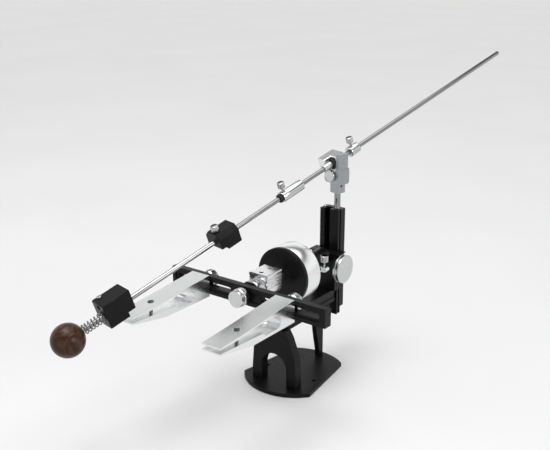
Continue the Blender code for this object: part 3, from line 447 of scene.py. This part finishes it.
def socket(radius, top, depth, across):
    """A screw head's top face with a hexagon socket, from the axis outwards."""
    return [(0, top - depth - 0.3), (across * 0.55, top - depth, "hex"),
            (across, top - depth, "hex"), (across, top - 0.1, "hex"),
            (across + 0.1, top), *edge(radius, top, 0.25)]


def knurled(head, top, neck, count, depth, flange=0.5):
    """A knob's head: a slightly dished face, a plain flange, and a knurled side."""
    shape = (count, depth)
    return [(0, top - 0.25), (head * 0.55, top - 0.2), (head * 0.78, top),
            (head - 0.8, top), (head - 0.3, top - 0.25), (head - 0.12, top - flange),
            (head, top - flange - 0.15, shape), (head, neck + 0.45, shape),
            (head - 0.5, neck)]


def thumb_screw(node, place, at, head, stem, low, neck, top):
    """A small upright thumb screw with a knurled head on a threaded stem."""
    profile = (knurled(head, top, neck, 26, 0.075)
               + [(stem + 0.9, neck), (stem + 0.7, neck - 0.6), (stem, neck - 0.7)]
               + thread(stem, neck - 0.8, low + 0.4) + [(stem - 0.5, low), (0, low)])
    turned(node, place, at, "+Z", "chrome", profile, 104)


def make_drum():
    """Housing, flange and spindle tube, and the bearings, shaft, boss and screws in them."""
    turned("drum_housing", UPRIGHT, AXIS, "-Y", "brushed", tube(36, 11.8, -3, 23.2, 0.6), 160,
           ring=True)
    flange = [(6.2, 29), (11.5, 29), (12.1, 28.6), (30.8, 28.6), (31.4, 29), *edge(36, 29, 1.1),
              *reversed(edge(36, 23.5, 0.3, -1)), (6.2, 23.5)]
    turned("drum_flange", UPRIGHT, AXIS, "-Y", "black_fine", flange, 160, ring=True)
    tube_shape = [(9.8, 20), (11.1, 20), (11.5, 19.6), (11.5, -62.3), (11.1, -62.7),
                  (9.8, -62.7), (9.8, -39), (7.8, -39), (7.8, 10.5), (9.8, 10.5)]
    turned("spindle_tube", UPRIGHT, AXIS, "-Y", "black_fine", tube_shape, 96, ring=True)
    for node, low in (("front_bearing", 11.0), ("rear_bearing", -47.5)):
        groove = [(6.2, low + 8), (7.0, low + 8), (7.2, low + 7.6), (8.7, low + 7.6),
                  (8.9, low + 8), (9.5, low + 7.8), (9.5, low + 0.2), (8.9, low),
                  (8.7, low + 0.4), (7.2, low + 0.4), (7.0, low), (6.2, low)]
        turned(node, UPRIGHT, AXIS, "-Y", "steel", groove, 64, ring=True)
    shaft = [(0, 62), (3.2, 62), (3.2, 79.6), (3.6, 80), (5.6, 80), (6, 79.6), (6, -49.2),
             (5, -49.2), (5, -50.8), (6, -50.8), (6, -57.5), (5.5, -58), (0, -58)]
    turned("rotary_shaft", UPRIGHT, AXIS, "-Y", "steel", shaft)
    turned("retaining_ring", UPRIGHT, AXIS, "-Y", "dark", tube(8.5, 5.3, -50.6, -49.4, 0.2), 48,
           ring=True)
    boss = [(3.2, 90.2), *edge(13.5, 90.2, 0.7), (13.5, 84.6), (13.2, 84.3), (13.2, 83.9),
            (13.5, 83.6), *reversed(edge(13.5, 75.8, 0.7, -1)), (6.2, 75.8), (6.2, 80.3),
            (3.2, 80.3)]
    turned("shaft_boss", UPRIGHT, AXIS, "-Y", "chrome", boss, 96, ring=True)
    for node, y in (("front", -69.5), ("rear", -52.5)):
        head = socket(2.3, 16.8, 1.8, 1.1) + [(2.3, 9), (1.9, 8.5), (0, 8.5)]
        turned(f"shaft_block_screw_{node}", UPRIGHT, (0, y, AXIS_HEIGHT), "+Z", "dark", head,
               48)
    lug_screw = socket(1.7, 4.2, 1.6, 0.85) + [(1.7, -0.7), (1.4, -1.0), (0, -1.0)]
    turned("brake_lug_screw", UPRIGHT, (14, 37.5, 137.3), "-Y", "dark", lug_screw, 48)
    thumb_screw("brake_screw", UPRIGHT, (18.2, 37.5, 147), head=5, stem=1.4, low=-9.5,
                neck=0, top=8.5)


def make_clamp_fittings():
    """Centre knob, and each clamp's stud, rear knob and jaw screw."""
    knob = [(0, 118.7), (6.4, 118.8), (7.4, 119), (9.6, 119), (10.05, 118.7), (10.2, 118.3),
            (10.2, 114.6), (9.9, 114.1), (9.1, 113.6), (9.1, 113.0), (10.5, 112.6),
            (10.9, 112.0), (10.9, 106.9), (10.6, 106.0), (9.9, 105.4), (7.8, 105.4),
            (7.8, 102.3), (3.0, 102.3), (3.0, 64.5), (2.6, 64), (0, 64)]
    turned("centre_knob", UPRIGHT, AXIS, "-Y", "turned", knob, 128)
    bar_front, jaw_screw_y = -102.3, -188.5
    ribbed = (48, 0.035)
    for side, x in (("left", -66), ("right", 58.6)):
        at = (x, bar_front, AXIS_HEIGHT)
        stud = ([(0, 22.8), (2.4, 22.8), (2.9, 22.3)] + thread(2.9, 22.2, 11)
                + [(2.9, 10.6), (2.9, -13.8), (2.5, -14.2), (0, -14.2)])
        turned(f"{side}_clamp_stud", UPRIGHT, at, "+Y", "steel", stud, 48)
        shape = [(3.1, 22.3), (9.5, 22.3), (10.1, 22.0), (10.5, 21.4), (10.5, 21.2, ribbed),
                 (10.5, 14.2, ribbed), (10.5, 13.9), (10.1, 13.3), (9.5, 12.1), (3.1, 12.1)]
        turned(f"{side}_clamp_knob", UPRIGHT, at, "+Y", "chrome", shape, 192, ring=True)
        head = socket(3.1, 5.8, 1.4, 1.3) + [(3.1, 3.9), (2.0, 3.9), (2.0, -11.1), (1.6, -11.5),
                                             (0, -11.5)]
        # The jaw screw heads take the steel darkened as painted shade of their counterbores
        turned(f"{side}_jaw_screw", UPRIGHT, (x, jaw_screw_y, AXIS_HEIGHT), "+Z", "jaw_screw_painted_shade",
               head, 48)


def make_post_fittings():
    """Lift knob, upright rod, post screw, foot screws and bracket screw."""
    knob = [(0, 28.1), (14.2, 28.2), (15.2, 28.5), (17.9, 28.5), (18.55, 28.2),
            (18.75, 27.7), (18.75, 24.9), (18.5, 24.4), (17.6, 24.2), (17.6, 23.5),
            (18.5, 23.3), (18.75, 22.9), (18.75, 21.4), (18.5, 20.8), (17.9, 20.5),
            (7.8, 20.5), (7.8, 18.9), (7.4, 18.5), (2.2, 18.5), (2.2, 24.8), (0, 24.8)]
    turned("lift_knob", UPRIGHT, (0, 72.2, 128.4), "+X", "turned", knob, 160)
    turned("upright_rod", UPRIGHT, (8, 81, 0), "+Z", "rod", rod(4.1, 191, 253.5), 72)
    head = [(0, 1.5), (0.5, 1.5, "cross"), (1.6, 1.6, "cross"), (1.6, 2.25, "cross"),
            (1.75, 2.4), (2.2, 2.1), (2.8, 1.1), (2.8, 0.3), (1.2, 0.3), (1.2, -9.2),
            (0.9, -9.5), (0, -9.5)]
    turned("post_top_screw", UPRIGHT, (-10.5, 82, 204.5), "+Z", "chrome", head, 64)
    foot = [(0, 16), (1.6, 16), (2, 15.6), (2, 2.1), (4.1, 1.9), (4.1, 0.7), (3.9, 0.5),
            (1.5, 0.5), (1.4, 0.6, "hex"), (1.4, 1.7, "hex"), (0, 1.8)]
    for node, x, y in (("front_left", -26, -39), ("front_right", 26, -39), ("rear", 0, 55.5)):
        turned(f"pedestal_screw_{node}", UPRIGHT, (x, y, 0), "+Z", "dark", foot, 48)
    cap = [(0, 14), (2.4, 14), (2.8, 13.6), (2.8, -15.8), (4.5, -15.8), (4.5, -19.1),
           (4.2, -19.4), (2.2, -19.4), (2.1, -19.3, "hex"), (2.1, -17.2, "hex"), (0, -17.0)]
    turned("bracket_screw", UPRIGHT, (0, 67.5, 100), "+Z", "dark", cap, 48)


def make_hinge_fittings():
    """Pin, knobs and set screw of the hinge, and the bush and seal round the rod."""
    pin = socket(2.6, 13.6, 1.3, 1.2) + [(2.6, 5.1), (2.3, 4.8), (0, 4.8)]
    turned("pivot_pin", YAWED, (0, 0, 0), "+X", "chrome", pin, 48)
    knob = (knurled(7.7, 15.5, 11.2, 40, 0.04, 0.9)
            + [(1.9, 11.2)] + thread(1.9, 11.0, 5.4) + [(1.5, 5.0), (0, 5.0)])
    turned("hinge_knob", YAWED, (0, 0, -19), "-Y", "turned", knob, 160)
    side_knob = (knurled(5.0, 20.0, 13.5, 28, 0.07)
                 + [(1.6, 13.5)] + thread(1.6, 13.3, 5.4) + [(1.3, 5.0), (0, 5.0)])
    turned("hinge_side_knob", YAWED, (0, 0, -25.8), "-X", "steel", side_knob, 112)
    screw = socket(1.4, 6.6, 1.2, 0.7) + [(1.4, 4.8), (1.2, 4.6), (0, 4.6)]
    turned("hinge_set_screw", YAWED, (0, 0, -33.65), "+X", "dark", screw, 48)
    bush = [(3.2, 26.9), (3.4, 27), (4.3, 27), (4.8, 26.5), (4.8, 24.6), (4.5, 24.3),
            (4.5, 23.9), (4.8, 23.6), (4.8, 10.8), (4.6, 10.6), (4.3, 10.6), (4.3, 3.5),
            (3.2, 3.5)]
    turned("rod_bush", PITCHED, (0, 0, 0), "-Y", "turned", bush, 72, ring=True)
    turned("pivot_seal", PITCHED, (0, 0, 0), "-Y", "rubber",
           tube(7.5, 5.0, 10.3, 13.1, 0.5), 72, ring=True)


def make_rod_fittings():
    """Guide rod, ball handle, holder screws, stops and their screws."""
    turned("guide_rod", PITCHED, (0, 0, 0), "+Y", "rod", rod(3, -416, 332, 0.5), 72)
    ball_radius, ball_steps, ball_arc = 18.75, 48, 168      # mm, count, degrees
    ball = []
    for i in range(ball_steps + 1):
        angle = math.radians(ball_arc * i / ball_steps)
        ball.append((ball_radius * math.sin(angle), -ball_radius * math.cos(angle)))
    bore = [(3.9, 18.2), (3.4, 17.6), (3.2, 17.2), (3.2, -6.2), (0, -6.2)]
    turned("ball_handle", PITCHED, (0, -410.07, 0), "+Y", "walnut", ball + bore, 96)
    head = [(0, 18.2), (1.0, 18.2, "cross"), (1.5, 18.25, "cross"), (1.5, 18.35, "cross"),
            (1.7, 18.45), (2.3, 18.5), (2.6, 18.2), (2.6, 17.3), (1.2, 17.3), (1.2, 8.8),
            (0.9, 8.5), (0, 8.5)]
    turned("front_holder_screw", PITCHED, (-10, -357, 0), "+Z", "chrome", head, 64)
    thumb_screw("rear_holder_screw", PITCHED, (0, -201, 0), head=4.8, stem=1.6, low=3.4,
                neck=12.8, top=19.5)
    for node, at, half, screw in (("front_stop", -83.25, 16.75, -95.5),
                                  ("rear_stop", 27.5, 7.5, 25)):
        turned(node, PITCHED, (0, at, 0), "+Y", "chrome", tube(7, 3.2, -half, half, 0.6), 96,
               ring=True)
        thumb_screw(f"{node}_screw", PITCHED, (0, screw, 0), head=4.6, stem=1.6, low=3.4,
                    neck=11.5, top=19.0)
    screw = socket(1.4, 6.6, 1.2, 0.7) + [(1.4, 3.7), (1.2, 3.5), (0, 3.5)]
    turned("front_stop_set_screw", PITCHED, (0, -82, 0), "+Z", "dark", screw, 48)
    turned("front_stop_bumper", PITCHED, (0, 0, 0), "+Y", "rubber",
           tube(5.6, 3.2, -104, -100.3, 1.0), 64, ring=True)


def make_spring():
    """The holder's coil spring: closed end turns, and open turns between them."""
    low, high = -390.5, -365.5
    mean, wire = 5.4, 0.7               # radii of the coil and of its wire
    turns, per_turn, round_wire = 6.5, 36, 12
    closing = 0.9                       # turns over which each end closes
    count = int(turns * per_turn)
    travel = high - low - 2 * wire
    rise = [min(1.0, i / per_turn / closing, (count - i) / per_turn / closing)
            for i in range(count)]
    total = sum(rise)
    centres = []
    along = low + wire
    for i in range(count + 1):
        angle = 2 * math.pi * i / per_turn
        centres.append(Vector((mean * math.cos(angle), along, mean * math.sin(angle))))
        if i < count:
            along += travel * rise[i] / total
    verts = []
    faces = []
    for i, centre in enumerate(centres):
        ahead = centres[min(i + 1, count)] - centres[max(i - 1, 0)]
        ahead.normalize()
        out = Vector((centre.x, 0, centre.z)).normalized()
        up = ahead.cross(out).normalized()
        for j in range(round_wire):
            angle = 2 * math.pi * j / round_wire
            point = centre + wire * (math.cos(angle) * out + math.sin(angle) * up)
            verts.append(point * MM)
    for i in range(count):
        for j in range(round_wire):
            a = i * round_wire + j
            b = i * round_wire + (j + 1) % round_wire
            faces.append((a, b, b + round_wire, a + round_wire))
    faces.append(tuple(reversed(range(round_wire))))
    faces.append(tuple(range(count * round_wire, (count + 1) * round_wire)))
    mesh = bpy.data.meshes.new("holder_spring_coil")
    mesh.from_pydata(verts, [], faces)
    mesh.update()
    mesh.shade_smooth()
    mesh.set_sharp_from_angle(angle=WIRE_SHARP)
    spring = bpy.data.objects.new("holder_spring_coil", mesh)
    bpy.context.scene.collection.objects.link(spring)
    spring.matrix_world = PITCHED
    material, slot = LOOKS["spring"]
    mesh.materials.append(material)
    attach(spring, "rod")
    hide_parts("holder_spring")
    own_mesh(spring)


make_drum()
make_clamp_fittings()
make_post_fittings()
make_hinge_fittings()
make_rod_fittings()
make_spring()


# ---------------------------------------------------------------- floor, light and camera

def make_floor():
    """A wide pale floor, a hair below the base plate."""
    look = Look("studio_floor", 0.0, Specular_IOR_Level=0.2, Roughness=0.75)
    look.tones(look.noise(look.place(), scale=3, detail=2), grey(0.58), grey(0.60))
    half, gap = 14.0, 0.0002            # metres
    corners = [(-half, -half, 0), (half, -half, 0), (half, half, 0), (-half, half, 0)]
    mesh = bpy.data.meshes.new("floor")
    mesh.from_pydata(corners, [], [(0, 1, 2, 3)])
    mesh.materials.append(look.material)
    floor = bpy.data.objects.new("floor", mesh)
    floor.location.z = -gap
    bpy.context.scene.collection.objects.link(floor)


def make_softbox(name, at, size, power):
    """A white area lamp, in metres and watts, that faces the middle of the jig."""
    target = Vector((0, -0.05, 0.14))
    lamp = bpy.data.lights.new(name, "AREA")
    lamp.shape = "RECTANGLE"
    lamp.size, lamp.size_y = size
    lamp.energy = power
    box = bpy.data.objects.new(name, lamp)
    box.location = at
    box.rotation_euler = (target - Vector(at)).to_track_quat("-Z", "Y").to_euler()
    bpy.context.scene.collection.objects.link(box)


def make_world():
    """A studio shaded by height: pale walls, a dark band above them, a bright ceiling."""
    world = bpy.data.worlds.new("studio")
    bpy.context.scene.world = world
    world.use_nodes = True
    nodes = world.node_tree.nodes
    links = world.node_tree.links
    background = nodes["Background"]
    background.inputs["Strength"].default_value = 2.4
    point = nodes.new("ShaderNodeTexCoord")
    split = nodes.new("ShaderNodeSeparateXYZ")
    links.new(point.outputs["Generated"], split.inputs[0])
    ramp = nodes.new("ShaderNodeValToRGB")
    elements = ramp.color_ramp.elements
    walls = ((0.0, 0.36), (0.12, 0.42), (0.27, 0.46), (0.53, 0.36))
    band = ((0.60, 0.08), (0.68, 0.04), (0.73, 0.10))
    ceiling = ((0.82, 0.90), (1.0, 0.90))
    stops = walls + band + ceiling      # sine of the elevation, brightness
    while len(elements) < len(stops):
        elements.new(0.5)
    for element, (position, value) in zip(elements, stops):
        element.position = position
        element.color = (value, value, value, 1)
    links.new(split.outputs["Z"], ramp.inputs["Fac"])
    links.new(ramp.outputs["Color"], background.inputs["Color"])


def make_camera():
    """The photographed view: from the front right, a little above."""
    down, around = math.radians(18.41), math.radians(36.67)
    lens = bpy.data.cameras.new("camera")
    lens.lens = 58.83
    lens.sensor_width = 36
    lens.clip_start = 0.05
    lens.clip_end = 60
    camera = bpy.data.objects.new("camera", lens)
    camera.location = (0.604, -0.8536, 0.5505)
    camera.rotation_euler = (QUARTER - down, 0, around)
    bpy.context.scene.collection.objects.link(camera)
    bpy.context.scene.camera = camera


make_floor()
make_world()
make_softbox("overhead", at=(-0.25, -0.45, 1.7), size=(0.8, 0.6), power=10)
make_softbox("right", at=(1.5, -0.35, 0.75), size=(0.6, 0.7), power=6)
make_camera()
bpy.context.scene.view_settings.view_transform = "Standard"
